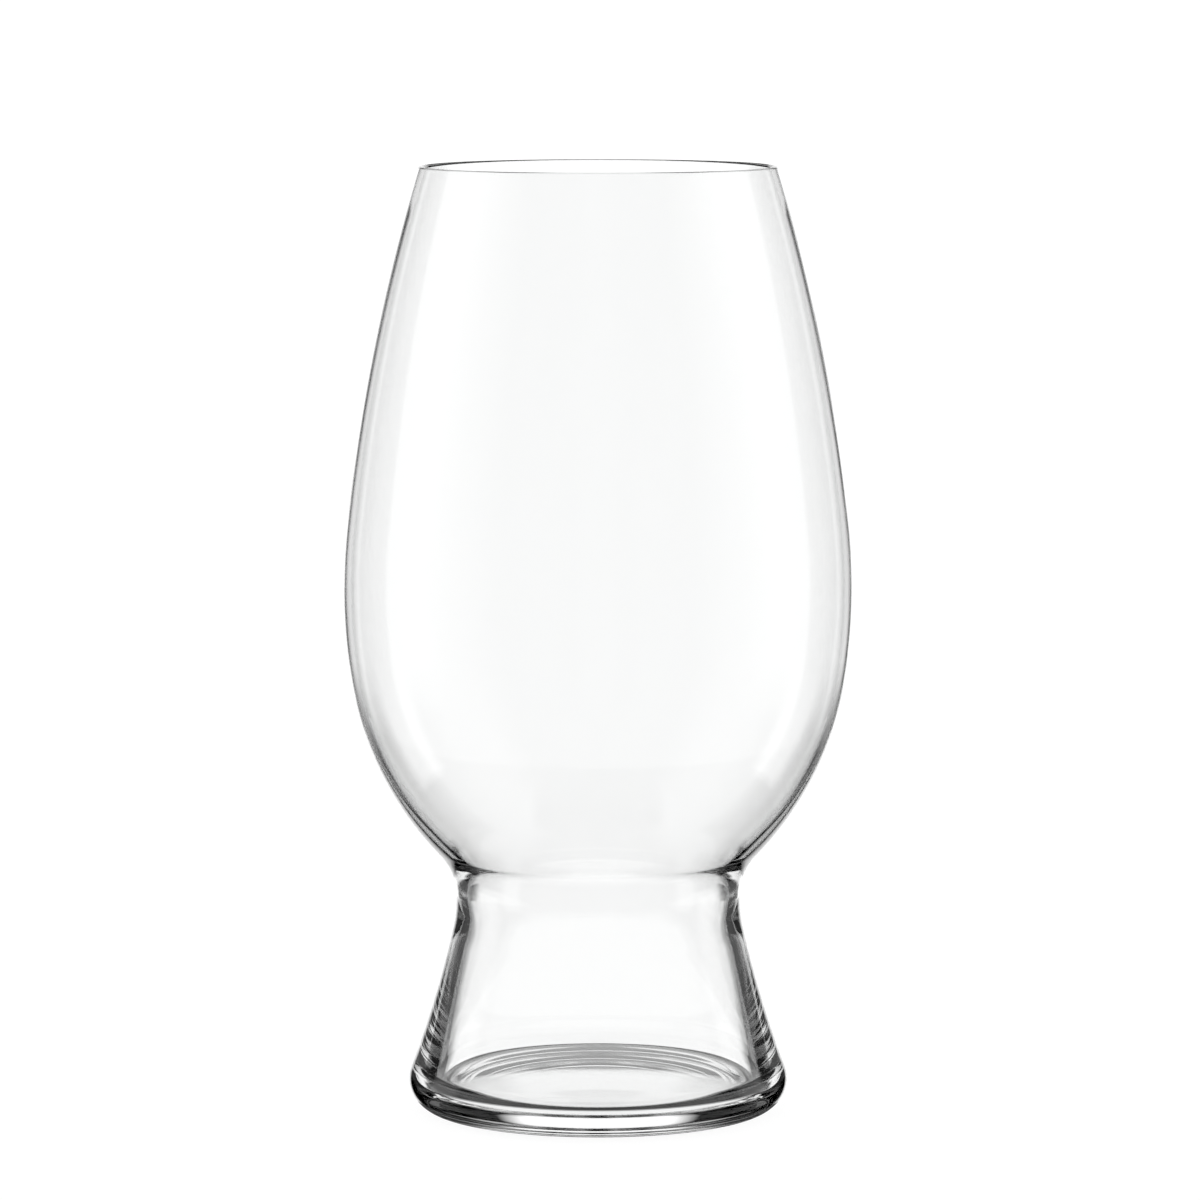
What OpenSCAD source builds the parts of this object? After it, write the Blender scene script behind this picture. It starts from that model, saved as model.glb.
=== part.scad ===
// Wheat beer glass: a thin blown bowl on a heavy hollow foot, fused together at the waist.
// Millimetres, +Z up, origin on the table at the centre of the foot.
// Every wall is a chain of arcs that run into each other smoothly, turned about Z.

/* [Outside sizes] */
// Height of the glass, table to rim
height = 174; // [168:0.5:180]
// Diameter across the rim
rim_d = 65.6; // [62:0.1:70]
// Widest diameter, across the belly
belly_d = 93.2; // [91:0.1:96]
// Height of the widest place above the table
belly_z = 96.6; // [95.2:0.1:99]
// Narrowest diameter, at the waist
waist_d = 52.1; // [50.5:0.1:53.5]
// Height of the waist above the table
waist_z = 39.6; // [38:0.1:41]
// Diameter of the foot, where it is widest
foot_d = 69.7; // [68:0.1:72]

/* [Curves] */
// Radius of the belly's curve
belly_arc = 105.5; // [95:0.5:115]
// Degrees that the belly's curve runs above the widest place
belly_up = 5.9; // [4:0.1:8]
// Degrees that the belly's curve runs below the widest place
belly_down = 9; // [7:0.1:11]
// Radius of the bowl's lower curve
bowl_arc = 60.5; // [58:0.1:63]
// Radius of the hollow curve just under the waist
neck_arc = 27; // [24:0.1:32]
// Degrees that the hollow curve under the waist turns
neck_turn = 12.8; // [11:0.1:14]
// Radius of the rounded edge that the foot stands on
edge_arc = 5.8; // [5:0.1:6.6]

/* [Glass thickness] */
// Wall of the bowl
bowl_wall = 1.1; // [0.9:0.05:1.5]
// Radius inside the bowl's lower curve, tighter than outside so that the wall thickens towards the waist
inner_arc = 56.3; // [55.5:0.1:57.5]
// Diameter of the straight bore through the waist
bore_d = 47.9; // [46.5:0.1:49]
// Radius of the inner curve where the bowl opens out of the bore
lip_arc = 9; // [7:0.1:10]
// Height where the bore starts to widen into the foot
well_z = 36.7; // [35:0.1:37.5]
// Radius of the curve that widens the bore into the foot
well_arc = 25; // [20:1:30]
// Slope of the foot's inside wall, in degrees from upright
well_slope = 13; // [12:0.1:14]
// Radius between the foot's inside wall and its floor
floor_corner = 2.4; // [1.8:0.1:3]
// Height of the floor inside the foot, at its middle
floor_z = 5.3; // [5:0.1:6]
// Radius of the floor's shallow crown
floor_arc = 480; // [300:10:700]

/* [Underside] */
// Inner diameter of the flat ring that the glass stands on
ring_d = 52; // [48:0.5:55]
// Depth of the hollow under the foot
punt_depth = 2; // [1.2:0.1:2.4]

/* [Hidden] */
$fn = 180;
chord_error = 0.01;
glass_colour = [0.90, 0.94, 0.93];

function dir(a) = [cos(a), sin(a)];
function bearing(v) = atan2(v[1], v[0]);

// Arc about c from angle a0 to a1, without its first point, which ends the curve before it
function arc(c, r, a0, a1) =
    let (steps = max(2, ceil(abs(a1 - a0) / (2 * acos(1 - chord_error / r)))))
    [for (i = [1 : steps]) c + r * dir(a0 + (a1 - a0) * i / steps)];

// Belly and the bowl's lower curve, which meet belly_down degrees under the widest place
belly_c = [belly_d / 2 - belly_arc, belly_z];
bowl_c = belly_c + (belly_arc - bowl_arc) * dir(-belly_down);

// Hollow curve above the waist: upright at the waist and tangent to the bowl's lower curve
waist = [waist_d / 2, waist_z];
from_bowl = waist - bowl_c;
waist_arc = (from_bowl * from_bowl - pow(bowl_arc, 2)) / (2 * (bowl_arc - from_bowl[0]));
waist_c = waist + [waist_arc, 0];
waist_angle = bearing(waist_c - bowl_c);

// Shoulder: leaves the belly smoothly, and its middle line ends in the centre of the rim's bead
bead = bowl_wall / 2;
bead_c = [rim_d / 2 - bead, height - bead];
shoulder_start = belly_c + (belly_arc - bead) * dir(belly_up);
shoulder_chord = bead_c - shoulder_start;
shoulder_arc = shoulder_chord * shoulder_chord / (-2 * shoulder_chord * dir(belly_up));
shoulder_c = shoulder_start - shoulder_arc * dir(belly_up);
rim_angle = bearing(bead_c - shoulder_c);

// Inner curve of the waist: tangent to the bore and to the inside of the bowl
bore = bore_d / 2;
inner_c = belly_c + (belly_arc - bowl_wall - inner_arc) * dir(-belly_down);
lip_x = bore + lip_arc;
lip_c = [lip_x, inner_c[1] - sqrt(pow(inner_arc + lip_arc, 2) - pow(lip_x - inner_c[0], 2))];
lip_angle = bearing(lip_c - inner_c);

// Outside of the foot: a flare tangent to the neck's hollow curve and to the rounded edge
neck_c = waist + [neck_arc, 0];
neck_angle = 180 + neck_turn;
neck_end = neck_c + neck_arc * dir(neck_angle);
edge_c = [foot_d / 2 - edge_arc, edge_arc];
from_edge = neck_end - edge_c;
flare_arc = (from_edge * from_edge - pow(edge_arc, 2)) / (2 * (edge_arc + from_edge * dir(neck_angle)));
flare_c = neck_end - flare_arc * dir(neck_angle);
edge_angle = bearing(flare_c - edge_c);

// Inside of the foot: a sloping wall, then a corner tangent to that wall and to the crowned floor
well_c = [bore + well_arc, well_z];
well_angle = 180 + well_slope;
down_wall = dir(well_slope - 90);
floor_c = [0, floor_z - floor_arc];
from_floor = well_c + (well_arc + floor_corner) * dir(well_angle) - floor_c;
along = from_floor * down_wall;
drop = -along - sqrt(along * along - from_floor * from_floor + pow(floor_arc + floor_corner, 2));
corner_c = floor_c + from_floor + drop * down_wall;
floor_angle = bearing(corner_c - floor_c);

// Hollow under the foot: a shallow cap that starts at the standing ring
punt_arc = (pow(ring_d / 2, 2) + pow(punt_depth, 2)) / (2 * punt_depth);
punt_c = [0, punt_depth - punt_arc];
punt_angle = asin(ring_d / 2 / punt_arc);

bowl_section = concat(
    [waist],
    arc(waist_c, waist_arc, 180, waist_angle + 180),
    arc(bowl_c, bowl_arc, waist_angle, -belly_down),
    arc(belly_c, belly_arc, -belly_down, belly_up),
    arc(shoulder_c, shoulder_arc + bead, belly_up, rim_angle),
    arc(bead_c, bead, rim_angle, 90),
    arc(bead_c, bead, 90, rim_angle + 180),
    arc(shoulder_c, shoulder_arc - bead, rim_angle, belly_up),
    arc(belly_c, belly_arc - bowl_wall, belly_up, -belly_down),
    arc(inner_c, inner_arc, -belly_down, lip_angle),
    arc(lip_c, lip_arc, lip_angle + 180, 180),
    [[bore, waist_z]]);

foot_section = concat(
    [[0, punt_depth]],
    arc(punt_c, punt_arc, 90, 90 - punt_angle),
    [[edge_c[0], 0]],
    arc(edge_c, edge_arc, -90, edge_angle),
    arc(flare_c, flare_arc, edge_angle + 180, neck_angle),
    arc(neck_c, neck_arc, neck_angle, 180),
    [[bore, waist_z], [bore, well_z]],
    arc(well_c, well_arc, 180, well_angle),
    [corner_c + floor_corner * dir(well_slope)],
    arc(corner_c, floor_corner, well_slope, floor_angle - 180),
    arc(floor_c, floor_arc, floor_angle, 90));

// Thin blown bowl, from the fused face at the waist up to the fire-polished rim
module bowl() color(glass_colour) rotate_extrude() polygon(bowl_section);

// Heavy hollow foot, from the table up to the fused face at the waist
module foot() color(glass_colour) rotate_extrude() polygon(foot_section);

bowl();
foot();
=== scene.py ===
import math
import bpy
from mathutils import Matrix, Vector


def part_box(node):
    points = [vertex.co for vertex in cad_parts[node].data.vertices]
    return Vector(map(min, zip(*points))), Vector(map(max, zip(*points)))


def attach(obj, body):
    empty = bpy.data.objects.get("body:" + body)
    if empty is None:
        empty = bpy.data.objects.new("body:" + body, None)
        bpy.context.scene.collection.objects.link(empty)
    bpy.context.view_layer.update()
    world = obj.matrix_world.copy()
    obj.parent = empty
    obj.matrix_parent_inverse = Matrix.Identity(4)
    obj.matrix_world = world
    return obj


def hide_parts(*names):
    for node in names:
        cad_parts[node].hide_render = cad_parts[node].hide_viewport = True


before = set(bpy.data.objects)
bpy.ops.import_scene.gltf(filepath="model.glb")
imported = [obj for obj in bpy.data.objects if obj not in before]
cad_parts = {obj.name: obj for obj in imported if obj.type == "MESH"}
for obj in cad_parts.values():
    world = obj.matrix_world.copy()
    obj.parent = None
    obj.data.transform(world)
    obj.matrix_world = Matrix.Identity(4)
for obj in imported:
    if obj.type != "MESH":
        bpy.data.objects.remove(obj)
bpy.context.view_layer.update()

scene = bpy.context.scene

# Sizes of the turned walls, in metres and degrees, the same as in the solids
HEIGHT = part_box("bowl")[1].z
WAIST_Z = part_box("foot")[1].z
BELLY_RADIUS = 0.0466
BELLY_Z = 0.0966
RIM_RADIUS = 0.0328
WAIST_RADIUS = 0.02605
FOOT_RADIUS = 0.03485
BELLY_ARC = 0.1055
BELLY_UP = 5.9
BELLY_DOWN = 9.0
BOWL_ARC = 0.0605
NECK_ARC = 0.027
NECK_TURN = 12.8
EDGE_ARC = 0.0058
BOWL_WALL = 0.0011
BORE_RADIUS = 0.02395
INNER_ARC = 0.0563
LIP_ARC = 0.009
WELL_Z = 0.0367
WELL_ARC = 0.025
WELL_SLOPE = 13.0
FLOOR_CORNER = 0.0024
FLOOR_Z = 0.0053
FLOOR_ARC = 0.48
RING_RADIUS = 0.026
PUNT_DEPTH = 0.002

# Fineness of the meshes
STEPS_AROUND = 288
CHORD_ERROR = 0.0000014
SAME_PLACE = 1e-6

# Finish of the glass
GLASS_COLOUR = (0.995, 0.998, 0.997, 1)
GLASS_IOR = 1.52
WAVE_SCALE = 45.0
WAVINESS = 0.002
WEAR_HEIGHT = 0.0005
WEAR_ROUGHNESS = 0.12
SCUFF_SCALE = 900.0


def heading(angle):
    return Vector((math.cos(math.radians(angle)), math.sin(math.radians(angle))))


def bearing(v):
    return math.degrees(math.atan2(v.y, v.x))


def arc(centre, radius, start, end, side):
    """Points of an arc and their wall normals; side is 1 if the glass lies inside the arc, -1 if outside."""
    step = 2 * math.degrees(math.acos(1 - CHORD_ERROR / radius))
    count = max(3, math.ceil(abs(end - start) / step))
    turns = [heading(start + (end - start) * i / count) for i in range(count + 1)]
    return [(centre + radius * turn, side * turn) for turn in turns]


def chain(*stretches):
    """Joins stretches of wall, leaving out each point that repeats the one before it."""
    points = []
    for stretch in stretches:
        for place, normal in stretch:
            if not points or (place - points[-1][0]).length > SAME_PLACE:
                points.append((place, normal))
    return points


# Outside of the bowl, and the bead of the rim
belly_c = Vector((BELLY_RADIUS - BELLY_ARC, BELLY_Z))
bowl_c = belly_c + (BELLY_ARC - BOWL_ARC) * heading(-BELLY_DOWN)
waist = Vector((WAIST_RADIUS, WAIST_Z))
from_bowl = waist - bowl_c
waist_arc = (from_bowl.dot(from_bowl) - BOWL_ARC ** 2) / (2 * (BOWL_ARC - from_bowl.x))
waist_c = waist + Vector((waist_arc, 0))
waist_angle = bearing(waist_c - bowl_c)
bead = BOWL_WALL / 2
bead_c = Vector((RIM_RADIUS - bead, HEIGHT - bead))
shoulder_start = belly_c + (BELLY_ARC - bead) * heading(BELLY_UP)
shoulder_chord = bead_c - shoulder_start
shoulder_arc = shoulder_chord.dot(shoulder_chord) / (-2 * shoulder_chord.dot(heading(BELLY_UP)))
shoulder_c = shoulder_start - shoulder_arc * heading(BELLY_UP)
rim_angle = bearing(bead_c - shoulder_c)

# Inside of the lower bowl, and the inner curve of the waist
inner_c = belly_c + (BELLY_ARC - BOWL_WALL - INNER_ARC) * heading(-BELLY_DOWN)
lip_x = BORE_RADIUS + LIP_ARC
lip_c = Vector((lip_x, inner_c.y - math.sqrt((INNER_ARC + LIP_ARC) ** 2 - (lip_x - inner_c.x) ** 2)))
lip_angle = bearing(lip_c - inner_c)

# Outside of the foot
neck_c = waist + Vector((NECK_ARC, 0))
neck_angle = 180 + NECK_TURN
neck_end = neck_c + NECK_ARC * heading(neck_angle)
edge_c = Vector((FOOT_RADIUS - EDGE_ARC, EDGE_ARC))
from_edge = neck_end - edge_c
flare_arc = (from_edge.dot(from_edge) - EDGE_ARC ** 2) / (2 * (EDGE_ARC + from_edge.dot(heading(neck_angle))))
flare_c = neck_end - flare_arc * heading(neck_angle)
edge_angle = bearing(flare_c - edge_c)

# Inside of the foot
well_c = Vector((BORE_RADIUS + WELL_ARC, WELL_Z))
well_angle = 180 + WELL_SLOPE
down_wall = heading(WELL_SLOPE - 90)
floor_c = Vector((0, FLOOR_Z - FLOOR_ARC))
from_floor = well_c + (WELL_ARC + FLOOR_CORNER) * heading(well_angle) - floor_c
along = from_floor.dot(down_wall)
drop = -along - math.sqrt(along ** 2 - from_floor.dot(from_floor) + (FLOOR_ARC + FLOOR_CORNER) ** 2)
corner_c = floor_c + from_floor + drop * down_wall
floor_angle = bearing(corner_c - floor_c)

# Hollow under the foot
punt_arc = (RING_RADIUS ** 2 + PUNT_DEPTH ** 2) / (2 * PUNT_DEPTH)
punt_c = Vector((0, PUNT_DEPTH - punt_arc))
punt_angle = math.degrees(math.asin(RING_RADIUS / punt_arc))

bowl_wall = chain(
    arc(waist_c, waist_arc, 180, waist_angle + 180, -1),
    arc(bowl_c, BOWL_ARC, waist_angle, -BELLY_DOWN, 1),
    arc(belly_c, BELLY_ARC, -BELLY_DOWN, BELLY_UP, 1),
    arc(shoulder_c, shoulder_arc + bead, BELLY_UP, rim_angle, 1),
    arc(bead_c, bead, rim_angle, 90, 1),
    arc(bead_c, bead, 90, rim_angle + 180, 1),
    arc(shoulder_c, shoulder_arc - bead, rim_angle, BELLY_UP, -1),
    arc(belly_c, BELLY_ARC - BOWL_WALL, BELLY_UP, -BELLY_DOWN, -1),
    arc(inner_c, INNER_ARC, -BELLY_DOWN, lip_angle, -1),
    arc(lip_c, LIP_ARC, lip_angle + 180, 180, 1),
    [(Vector((BORE_RADIUS, WAIST_Z)), Vector((-1, 0))), (waist, Vector((1, 0)))],
)

foot_wall = chain(
    arc(punt_c, punt_arc, 90, 90 - punt_angle, -1),
    arc(edge_c, EDGE_ARC, -90, edge_angle, 1),
    arc(flare_c, flare_arc, edge_angle + 180, neck_angle, -1),
    arc(neck_c, NECK_ARC, neck_angle, 180, -1),
    [(Vector((BORE_RADIUS, WAIST_Z)), Vector((-1, 0)))],
    arc(well_c, WELL_ARC, 180, well_angle, 1),
    arc(corner_c, FLOOR_CORNER, WELL_SLOPE, floor_angle - 180, -1),
    arc(floor_c, FLOOR_ARC, floor_angle, 90, 1),
)


# Materials
def clear_glass_material():
    """Clear blown glass: faintly wavy walls, and a little wear on the ring that it stands on."""
    mat = bpy.data.materials.new("clear_glass")
    mat.use_nodes = True
    nodes, links = mat.node_tree.nodes, mat.node_tree.links
    shader = nodes["Principled BSDF"]
    shader.inputs["Base Color"].default_value = GLASS_COLOUR
    shader.inputs["Transmission Weight"].default_value = 1.0
    shader.inputs["IOR"].default_value = GLASS_IOR
    place = nodes.new("ShaderNodeTexCoord")
    waves = nodes.new("ShaderNodeTexNoise")
    waves.inputs["Scale"].default_value = WAVE_SCALE
    waves.inputs["Detail"].default_value = 0.0
    links.new(place.outputs["Object"], waves.inputs["Vector"])
    centred = nodes.new("ShaderNodeVectorMath")
    centred.operation = "SUBTRACT"
    centred.inputs[1].default_value = (0.5, 0.5, 0.5)
    links.new(waves.outputs["Color"], centred.inputs[0])
    gentle = nodes.new("ShaderNodeVectorMath")
    gentle.operation = "SCALE"
    gentle.inputs["Scale"].default_value = WAVINESS
    links.new(centred.outputs["Vector"], gentle.inputs[0])
    wall = nodes.new("ShaderNodeNewGeometry")
    tilted = nodes.new("ShaderNodeVectorMath")
    tilted.operation = "ADD"
    links.new(wall.outputs["Normal"], tilted.inputs[0])
    links.new(gentle.outputs["Vector"], tilted.inputs[1])
    even = nodes.new("ShaderNodeVectorMath")
    even.operation = "NORMALIZE"
    links.new(tilted.outputs["Vector"], even.inputs[0])
    links.new(even.outputs["Vector"], shader.inputs["Normal"])
    apart = nodes.new("ShaderNodeSeparateXYZ")
    links.new(place.outputs["Object"], apart.inputs[0])
    near_table = nodes.new("ShaderNodeMapRange")
    near_table.inputs["From Max"].default_value = WEAR_HEIGHT
    near_table.inputs["To Min"].default_value = WEAR_ROUGHNESS
    near_table.inputs["To Max"].default_value = 0.0
    links.new(apart.outputs["Z"], near_table.inputs["Value"])
    scuffs = nodes.new("ShaderNodeTexNoise")
    scuffs.inputs["Scale"].default_value = SCUFF_SCALE
    links.new(place.outputs["Object"], scuffs.inputs["Vector"])
    worn = nodes.new("ShaderNodeMath")
    worn.operation = "MULTIPLY"
    links.new(near_table.outputs["Result"], worn.inputs[0])
    links.new(scuffs.outputs["Fac"], worn.inputs[1])
    links.new(worn.outputs[0], shader.inputs["Roughness"])
    return mat


def fused_joint_material():
    """The face inside the fused waist, where the glass runs on without a seam, so nothing shows."""
    mat = bpy.data.materials.new("fused_joint")
    mat.use_nodes = True
    mat.node_tree.nodes["Principled BSDF"].inputs["Alpha"].default_value = 0.0
    return mat


# Geometry Nodes tree that turns a profile about the glass's axis
def live(sockets, name):
    """The socket of that name that the node shows in its present mode."""
    return next(s for s in sockets if s.name == name and s.enabled)


def turning_tree():
    tree = bpy.data.node_groups.new("turned_wall", "GeometryNodeTree")
    face = tree.interface
    face.new_socket("Profile", in_out="INPUT", socket_type="NodeSocketGeometry")
    face.new_socket("Steps Around", in_out="INPUT", socket_type="NodeSocketInt")
    face.new_socket("Glass", in_out="INPUT", socket_type="NodeSocketMaterial")
    face.new_socket("Wall", in_out="OUTPUT", socket_type="NodeSocketGeometry")
    nodes, links = tree.nodes, tree.links
    given = nodes.new("NodeGroupInput")
    result = nodes.new("NodeGroupOutput")

    def maths(operation, a, b=None):
        node = nodes.new("ShaderNodeMath")
        node.operation = operation
        for slot, value in zip(node.inputs, (a, b)):
            if isinstance(value, (int, float)):
                slot.default_value = value
            elif value is not None:
                links.new(value, slot)
        return node.outputs[0]

    count = nodes.new("GeometryNodeAttributeDomainSize")
    links.new(given.outputs["Profile"], count.inputs["Geometry"])
    columns = maths("ADD", given.outputs["Steps Around"], 1)
    grid = nodes.new("GeometryNodeMeshGrid")
    links.new(count.outputs["Point Count"], grid.inputs["Vertices X"])
    links.new(columns, grid.inputs["Vertices Y"])
    index = nodes.new("GeometryNodeInputIndex").outputs["Index"]
    row = maths("FLOOR", maths("DIVIDE", maths("ADD", index, 0.5), columns))
    column = maths("SUBTRACT", index, maths("MULTIPLY", row, columns))
    turn = maths("MULTIPLY", maths("DIVIDE", column, given.outputs["Steps Around"]), -2 * math.pi)
    cosine, sine = maths("COSINE", turn), maths("SINE", turn)

    def turned(value):
        """A vector of the profile's row, in the XZ plane, turned to the column's angle."""
        sample = nodes.new("GeometryNodeSampleIndex")
        sample.data_type = "FLOAT_VECTOR"
        sample.domain = "POINT"
        links.new(given.outputs["Profile"], sample.inputs["Geometry"])
        links.new(value, live(sample.inputs, "Value"))
        links.new(row, sample.inputs["Index"])
        apart = nodes.new("ShaderNodeSeparateXYZ")
        links.new(live(sample.outputs, "Value"), apart.inputs[0])
        joined = nodes.new("ShaderNodeCombineXYZ")
        links.new(maths("MULTIPLY", apart.outputs["X"], cosine), joined.inputs["X"])
        links.new(maths("MULTIPLY", apart.outputs["X"], sine), joined.inputs["Y"])
        links.new(apart.outputs["Z"], joined.inputs["Z"])
        return joined.outputs[0]

    place = nodes.new("GeometryNodeInputPosition").outputs["Position"]
    lean = nodes.new("GeometryNodeInputNamedAttribute")
    lean.data_type = "FLOAT_VECTOR"
    lean.inputs["Name"].default_value = "wall_normal"
    keep = nodes.new("GeometryNodeStoreNamedAttribute")
    keep.data_type = "FLOAT_VECTOR"
    keep.domain = "POINT"
    keep.inputs["Name"].default_value = "wall_normal"
    links.new(grid.outputs["Mesh"], keep.inputs["Geometry"])
    links.new(turned(live(lean.outputs, "Attribute")), live(keep.inputs, "Value"))
    bend = nodes.new("GeometryNodeSetPosition")
    links.new(keep.outputs["Geometry"], bend.inputs["Geometry"])
    links.new(turned(place), bend.inputs["Position"])
    close = nodes.new("GeometryNodeMergeByDistance")
    close.inputs["Distance"].default_value = SAME_PLACE
    links.new(bend.outputs["Geometry"], close.inputs["Geometry"])
    smooth = nodes.new("GeometryNodeSetShadeSmooth")
    links.new(close.outputs["Geometry"], smooth.inputs["Geometry"])
    real = nodes.new("GeometryNodeRealizeInstances")
    links.new(smooth.outputs["Geometry"], real.inputs["Geometry"])
    paint = nodes.new("GeometryNodeSetMaterial")
    links.new(real.outputs["Geometry"], paint.inputs["Geometry"])
    links.new(given.outputs["Glass"], paint.inputs["Material"])
    links.new(paint.outputs["Geometry"], result.inputs["Wall"])
    return tree


def turned_piece(name, wall, tree, glass, joint):
    """Turns a closed wall section into a plain mesh with exact wall normals, the fused face hidden."""
    profile = bpy.data.meshes.new(name + "_profile")
    last = len(wall) - 1
    profile.from_pydata([(p.x, 0, p.y) for p, n in wall], [(i, i + 1) for i in range(last)], [])
    lean = profile.attributes.new("wall_normal", "FLOAT_VECTOR", "POINT")
    for item, (p, n) in zip(lean.data, wall):
        item.vector = (n.x, 0, n.y)
    piece = bpy.data.objects.new(name + "_glass", profile)
    scene.collection.objects.link(piece)
    modifier = piece.modifiers.new("turning", "NODES")
    modifier.node_group = tree
    sockets = {item.name: item.identifier for item in tree.interface.items_tree if item.in_out == "INPUT"}
    modifier[sockets["Steps Around"]] = STEPS_AROUND
    modifier[sockets["Glass"]] = glass
    depsgraph = bpy.context.evaluated_depsgraph_get()
    mesh = bpy.data.meshes.new_from_object(piece.evaluated_get(depsgraph))
    piece.modifiers.remove(modifier)
    piece.data = mesh
    bpy.data.meshes.remove(profile)
    mesh.name = piece.name
    mesh.materials.clear()
    mesh.materials.append(glass)
    mesh.materials.append(joint)
    for polygon in mesh.polygons:
        fused = all(abs(mesh.vertices[i].co.z - WAIST_Z) < SAME_PLACE for i in polygon.vertices)
        polygon.material_index = 1 if fused else 0
    normals = [Vector(item.vector).normalized() for item in mesh.attributes["wall_normal"].data]
    mesh.attributes.remove(mesh.attributes["wall_normal"])
    mesh.normals_split_custom_set_from_vertices(normals)
    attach(piece, "root")
    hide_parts(name)


clear_glass = clear_glass_material()
fused_joint = fused_joint_material()
turning = turning_tree()
turned_piece("bowl", bowl_wall, turning, clear_glass, fused_joint)
turned_piece("foot", foot_wall, turning, clear_glass, fused_joint)

# Camera, placed as the photograph shows
CAMERA_LENS = 198.4
CAMERA_PLACE = (0.00035, -1.20675, 0.2207)
CAMERA_TILT_DOWN = 5.972
camera_data = bpy.data.cameras.new("camera")
camera_data.sensor_width = 36.0
camera_data.lens = CAMERA_LENS
camera_data.clip_start = 0.05
camera_data.clip_end = 50.0
camera = bpy.data.objects.new("camera", camera_data)
camera.location = CAMERA_PLACE
camera.rotation_euler = (math.radians(90 - CAMERA_TILT_DOWN), 0, 0)
scene.collection.objects.link(camera)
scene.camera = camera
bpy.context.view_layer.update()


# Studio: a white room with a pale floor
ROOM_BRIGHTNESS = 1.1
STUDIO_FLOOR_Z = -0.0003
STUDIO_FLOOR_HALF = 4
STUDIO_FLOOR_COLOUR = (0.08, 0.08, 0.08, 1)
STUDIO_FLOOR_GLOW = 0.95


def stage_sheet(name, points, faces, mat):
    """A sheet of the studio, which isn't part of the glass."""
    mesh = bpy.data.meshes.new(name)
    mesh.from_pydata(points, [], faces)
    mesh.materials.append(mat)
    sheet = bpy.data.objects.new(name, mesh)
    scene.collection.objects.link(sheet)
    return sheet


def pale_floor_material():
    """A matt floor that glows white by itself, so that the glass leaves almost no shadow on it."""
    mat = bpy.data.materials.new("pale_floor")
    mat.use_nodes = True
    shader = mat.node_tree.nodes["Principled BSDF"]
    shader.inputs["Base Color"].default_value = STUDIO_FLOOR_COLOUR
    shader.inputs["Roughness"].default_value = 0.9
    shader.inputs["Specular IOR Level"].default_value = 0.0
    shader.inputs["Emission Color"].default_value = (1, 1, 1, 1)
    shader.inputs["Emission Strength"].default_value = STUDIO_FLOOR_GLOW
    return mat


world = bpy.data.worlds.new("white_room")
world.use_nodes = True
world.node_tree.nodes["Background"].inputs["Color"].default_value = (1, 1, 1, 1)
world.node_tree.nodes["Background"].inputs["Strength"].default_value = ROOM_BRIGHTNESS
scene.world = world

corner_signs = [(-1, -1), (1, -1), (1, 1), (-1, 1)]
floor_corners = [(x * STUDIO_FLOOR_HALF, y * STUDIO_FLOOR_HALF, STUDIO_FLOOR_Z) for x, y in corner_signs]
floor = stage_sheet("floor", floor_corners, [(0, 1, 2, 3)], pale_floor_material())
floor.visible_transmission = False
floor.visible_glossy = False


# Papers round the glass, as glass is lit: a white backdrop shines through it, dark cards draw its edges.
# Only the glass sees them. Backdrop and cards turn with the camera, and the papers under the foot don't.
# Brightness is given at degrees from straight behind the glass, alike on both sides.
WALL_STEP = 2
RING_STEPS = 72


def paper_material(name, low_stops, high_stops, low=0.0, high=1.0):
    """Glowing paper whose brightness runs from the low stops to the high stops between two heights."""
    mat = bpy.data.materials.new(name)
    mat.use_nodes = True
    mat.cycles.emission_sampling = "NONE"
    nodes, links = mat.node_tree.nodes, mat.node_tree.links
    shader = nodes["Principled BSDF"]
    shader.inputs["Base Color"].default_value = (0, 0, 0, 1)
    shader.inputs["Specular IOR Level"].default_value = 0.0
    shader.inputs["Emission Strength"].default_value = 1.0
    place = nodes.new("ShaderNodeTexCoord")
    apart = nodes.new("ShaderNodeSeparateXYZ")
    links.new(place.outputs["Object"], apart.inputs[0])
    angle = nodes.new("ShaderNodeMath")
    angle.operation = "ARCTAN2"
    links.new(apart.outputs["X"], angle.inputs[0])
    links.new(apart.outputs["Y"], angle.inputs[1])
    both_sides = nodes.new("ShaderNodeMath")
    both_sides.operation = "ABSOLUTE"
    links.new(angle.outputs[0], both_sides.inputs[0])
    half_turn = nodes.new("ShaderNodeMath")
    half_turn.operation = "DIVIDE"
    half_turn.inputs[1].default_value = math.pi
    links.new(both_sides.outputs[0], half_turn.inputs[0])
    rise = nodes.new("ShaderNodeMapRange")
    rise.inputs["From Min"].default_value = low
    rise.inputs["From Max"].default_value = high
    links.new(apart.outputs["Z"], rise.inputs["Value"])
    blend = nodes.new("ShaderNodeMix")
    blend.data_type = "RGBA"
    links.new(rise.outputs["Result"], blend.inputs["Factor"])
    for stops, socket in ((low_stops, live(blend.inputs, "A")), (high_stops, live(blend.inputs, "B"))):
        ramp = nodes.new("ShaderNodeValToRGB")
        for degrees, level in stops[2:]:
            ramp.color_ramp.elements.new(degrees / 180)
        for stop, (degrees, level) in zip(ramp.color_ramp.elements, stops):
            stop.position = degrees / 180
            stop.color = (level, level, level, 1)
        links.new(half_turn.outputs[0], ramp.inputs["Fac"])
        links.new(ramp.outputs["Color"], socket)
    links.new(live(blend.outputs, "Result"), shader.inputs["Emission Color"])
    return mat


def even_paper(name, level):
    """Glowing paper of one brightness."""
    stops = [(0, level), (180, level)]
    return paper_material(name, stops, stops)


def for_glass_only(sheet):
    sheet.visible_camera = False
    sheet.visible_diffuse = False
    sheet.visible_shadow = False


def turn_with_camera(sheet):
    sheet.parent = camera
    sheet.matrix_parent_inverse = camera.matrix_world.inverted()


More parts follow.
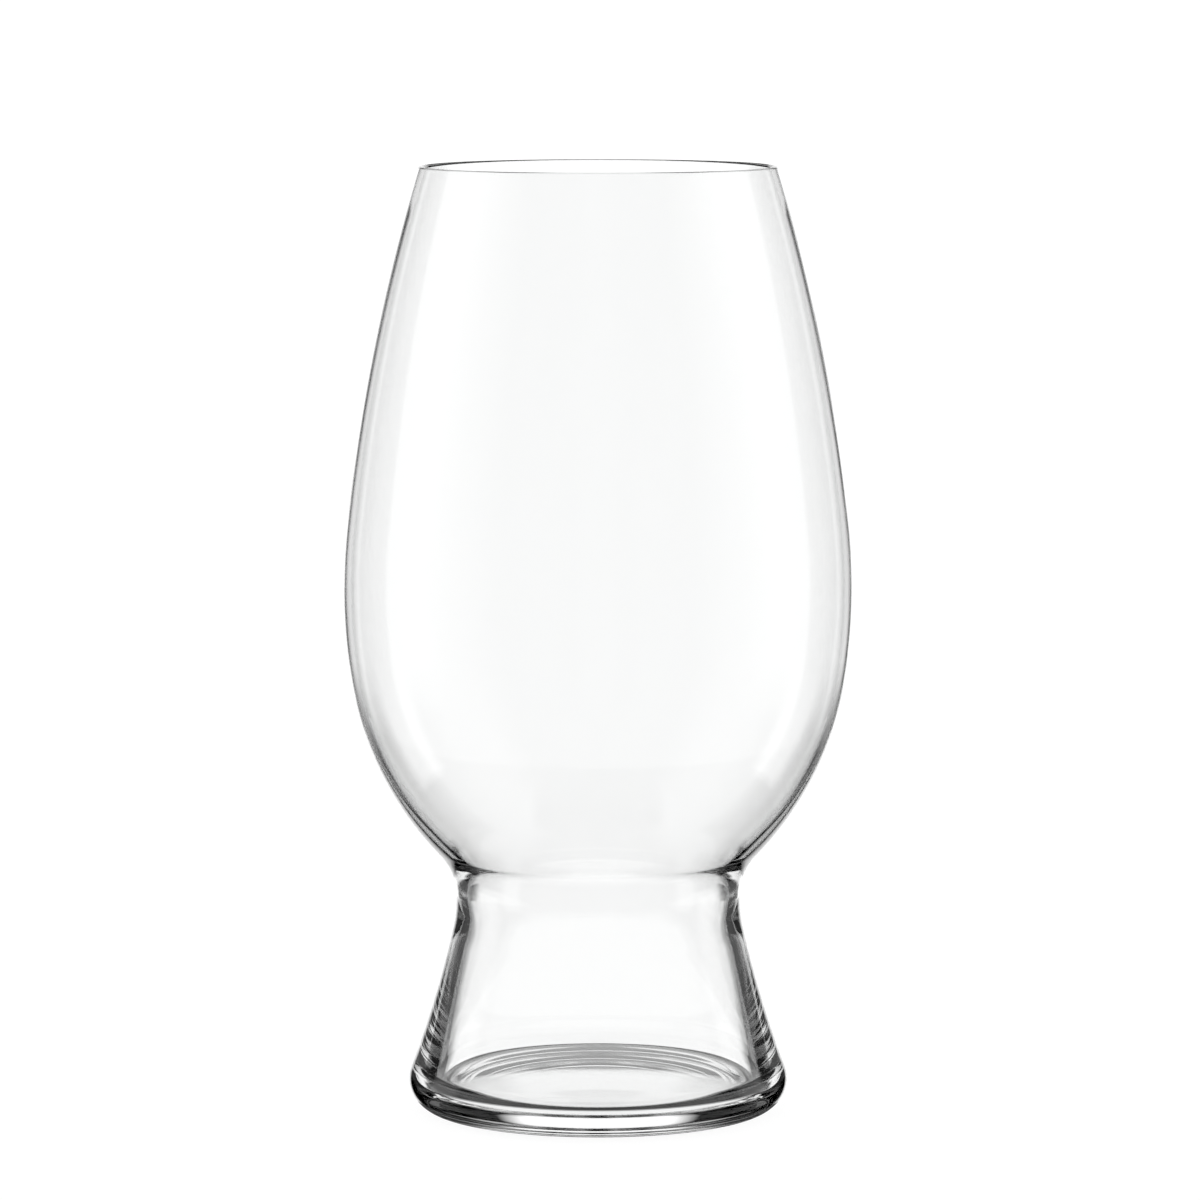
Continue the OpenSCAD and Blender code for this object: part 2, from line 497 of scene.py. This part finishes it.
def bent_wall(name, radius, first, last, low, high, mat):
    """A paper wall bent round the glass on both sides, between two angles from straight behind it."""
    count = math.ceil((last - first) / WALL_STEP)
    turns = [heading(90 - first - (last - first) * i / count) for i in range(count + 1)]
    points = []
    faces = []
    for side in (1, -1):
        start = len(points)
        points += [(side * radius * t.x, radius * t.y, z) for z in (low, high) for t in turns]
        faces += [(i, i + 1, i + count + 2, i + count + 1) for i in range(start, start + count)]
    wall = stage_sheet(name, points, faces, mat)
    for_glass_only(wall)
    turn_with_camera(wall)


def flat_ring(name, inner, outer, z, mat):
    """A flat ring of paper about the glass's axis."""
    n = RING_STEPS
    turns = [heading(360 * i / n) for i in range(n)]
    points = [(r * t.x, r * t.y, z) for r in (inner, outer) for t in turns]
    faces = [(i, (i + 1) % n, n + (i + 1) % n, n + i) for i in range(n)]
    ring = stage_sheet(name, points, faces, mat)
    for_glass_only(ring)
    return ring


WHITE = 1.13
WHITE_BELOW = 1.1
BACKDROP_RADIUS = 0.40
BACKDROP_END = 100
BACKDROP_LOW_Z = -0.6
BACKDROP_TOP_Z = 1.2
DEEP_FADE = (-0.16, -0.13)
HIGH_FADE = (0.26, 0.28)
CARD_RADIUS = 0.12
CARD_START = 34
CARD_LOW_Z = -0.005
RIM_CARD_Z = 0.172
CARD_TOP_Z = 0.30
CARD_FADE = (0.034, 0.068)
CARD_HOLE = 0.0005
UNDER_Z = -0.0002
UNDER_HOLE = 0.0001
HOLLOW_PAPER_RADIUS = 0.028
# Outer radii of the painted contact shadow under the foot: half shade first, then dark
PAINTED_HALF_SHADE_RADIUS = 0.029
PAINTED_SHADOW_RADIUS = 0.0345

# White backdrop, far behind; below the table's level it has dimmer wings, and deep down it is narrower.
# High up it is dark in the middle, which draws the arcs in the foot's floor
deep_white = [(0, WHITE_BELOW), (14, WHITE_BELOW), (18, 0)]
winged_white = [(0, WHITE_BELOW), (19, WHITE_BELOW), (23, 0.45), (35, 0.45), (38, 0)]
backdrop_white = [(0, WHITE), (15, WHITE), (21, 0)]
dark_middle = [(0, 0), (8, 0), (12, 1.0), (30, 1.0), (36, 0)]
lower_backdrop = paper_material("lower_backdrop", deep_white, winged_white, *DEEP_FADE)
upper_backdrop = paper_material("upper_backdrop", backdrop_white, dark_middle, *HIGH_FADE)
bent_wall("lower_backdrop", BACKDROP_RADIUS, 0, BACKDROP_END, BACKDROP_LOW_Z, 0, lower_backdrop)
bent_wall("upper_backdrop", BACKDROP_RADIUS, 0, BACKDROP_END, 0, BACKDROP_TOP_Z, upper_backdrop)

# Side cards near the glass: dark next to the backdrop's window, pale further round, dark in front;
# from just under the rim upwards they are pale all the way to the window
low_card = [(0, 0.08), (71, 0.08), (76, 0.8), (93, 0.8), (100, 0)]
high_card = [(0, 0.05), (39, 0.05), (41.5, 0.75), (75, 0.75), (100, 0.55), (125, 0)]
rim_card = [(0, 0.75), (75, 0.75), (100, 0.55), (125, 0)]
side_cards = paper_material("side_cards", low_card, high_card, *CARD_FADE)
rim_cards = paper_material("rim_cards", rim_card, rim_card)
black_paper = even_paper("black_paper", 0)
bent_wall("side_cards", CARD_RADIUS, CARD_START, 180, CARD_LOW_Z, RIM_CARD_Z, side_cards)
bent_wall("rim_cards", CARD_RADIUS, CARD_START, 180, RIM_CARD_Z, CARD_TOP_Z, rim_cards)
bent_wall("cards_below", CARD_RADIUS, CARD_START, 180, -CARD_TOP_Z, CARD_LOW_Z, black_paper)
turn_with_camera(flat_ring("card_above", CARD_HOLE, CARD_RADIUS, CARD_TOP_Z, black_paper))
turn_with_camera(flat_ring("card_beneath", CARD_HOLE, CARD_RADIUS, -CARD_TOP_Z, black_paper))

# Under the foot: white paper below the hollow, and round the ring that the glass stands on a painted contact
# shadow, half shade at its inner edge and dark further out
hollow_paper = even_paper("paper_under_hollow", 0.97)
# Painted shade: the contact shadow round the ring that the glass stands on, seen only by the glass
painted_half_shade = even_paper("painted_half_shade", 0.4)
painted_contact_shadow = even_paper("painted_contact_shadow", 0.06)
flat_ring("paper_under_hollow", UNDER_HOLE, HOLLOW_PAPER_RADIUS, UNDER_Z, hollow_paper)
flat_ring("painted_half_shade", HOLLOW_PAPER_RADIUS, PAINTED_HALF_SHADE_RADIUS, UNDER_Z, painted_half_shade)
flat_ring("painted_contact_shadow", PAINTED_HALF_SHADE_RADIUS, PAINTED_SHADOW_RADIUS, UNDER_Z, painted_contact_shadow)

# Light is followed for a limited number of bounces, which stands in for the dimming of thick glass
LIGHT_BOUNCES = 24
scene.view_settings.view_transform = "Standard"
scene.view_settings.look = "None"
scene.cycles.max_bounces = LIGHT_BOUNCES
scene.cycles.transmission_bounces = LIGHT_BOUNCES
scene.cycles.glossy_bounces = LIGHT_BOUNCES
scene.cycles.transparent_max_bounces = 40
scene.cycles.use_denoising = True
